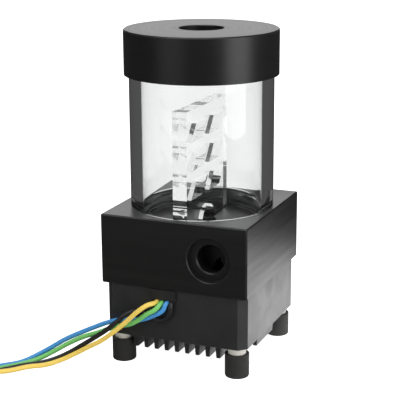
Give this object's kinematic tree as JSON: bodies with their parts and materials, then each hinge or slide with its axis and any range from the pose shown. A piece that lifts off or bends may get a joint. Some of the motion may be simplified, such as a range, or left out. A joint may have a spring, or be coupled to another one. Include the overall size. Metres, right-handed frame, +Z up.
{
  "type": "coolant pump reservoir",
  "caption": "Compact liquid-cooling pump with a clear cylindrical reservoir, screw-on black cap, side outlet port, finned heatsink base on rubber feet and loose lead wires.",
  "frame": {"origin": "centre of the footprint on the surface that the four rubber feet stand on, on the reservoir's axis", "axes": "+Z up along the reservoir's axis; -Y out of the face that has the outlet port and the leads; +X to the right of that face"},
  "size_m": [0.175, 0.1122, 0.138],
  "materials": {
    "black_acetal": "satin",
    "clear_acrylic": "polished",
    "seal_rubber": "satin",
    "foot_rubber": "matte",
    "rotor_plastic": "satin",
    "magnet": "matte",
    "ceramic_ball": "polished",
    "bright_steel": "satin",
    "dome_plastic": "satin",
    "copper_wire": "satin",
    "board_green": "satin",
    "pad_silicone": "matte",
    "black_anodised": "satin",
    "grommet_plastic": "matte",
    "white_nylon": "satin",
    "yellow_pvc": "satin",
    "green_pvc": "satin",
    "blue_pvc": "satin",
    "black_pvc": "satin"
  },
  "bodies": {
    "base": {"pump_top": "black_acetal", "baffle_plate": "clear_acrylic", "chamber_seal": "seal_rubber", "separating_dome": "dome_plastic", "bearing_post": "bright_steel", "bearing_ball": "ceramic_ball", "stator_core": "bright_steel", "stator_coils": "copper_wire", "motor_carrier": "grommet_plastic", "circuit_board": "board_green", "thermal_pad": "pad_silicone", "heatsink_housing": "black_anodised", "cable_grommet": "grommet_plastic", "foot_spacers": "white_nylon", "rubber_feet": "foot_rubber", "long_screws": "bright_steel", "lead_yellow": "yellow_pvc", "lead_green": "green_pvc", "lead_blue": "blue_pvc", "lead_black": "black_pvc", "lead_coil": "black_pvc", "coil_tie": "grommet_plastic", "power_plug": "white_nylon", "signal_plug": "grommet_plastic"},
    "rotor": {"impeller": "rotor_plastic", "rotor_magnet": "magnet"},
    "tube_ring": {"tube_seal": "seal_rubber"},
    "tube": {"reservoir_tube": "clear_acrylic"},
    "cap_ring": {"cap_seal": "seal_rubber"},
    "cap": {"reservoir_cap": "black_acetal"}
  },
  "joints": [
    {"name": "rotor_spin", "type": "hinge", "parent": "base", "child": "rotor", "pos_m": [0, 0, 0.0442], "axis": [0, 0, 1], "continuous": true},
    {"name": "tube_lift", "type": "slide", "parent": "base", "child": "tube_ring", "axis": [0, 0, 1], "range_m": [0, 0.007]},
    {"name": "tube_turn", "type": "hinge", "parent": "tube_ring", "child": "tube", "pos_m": [0, 0, 0.061], "axis": [0, 0, 1], "range_deg": [0, 2520]},
    {"name": "cap_lift", "type": "slide", "parent": "tube", "child": "cap_ring", "axis": [0, 0, 1], "range_m": [0, 0.009]},
    {"name": "cap_turn", "type": "hinge", "parent": "cap_ring", "child": "cap", "pos_m": [0, 0, 0.1285], "axis": [0, 0, 1], "range_deg": [0, 3240]}
  ],
  "couplings": [
    {"joint": "tube_lift", "follows": "tube_turn", "m_per_rad": 0.00015915},
    {"joint": "cap_lift", "follows": "cap_turn", "m_per_rad": 0.00015915}
  ]
}
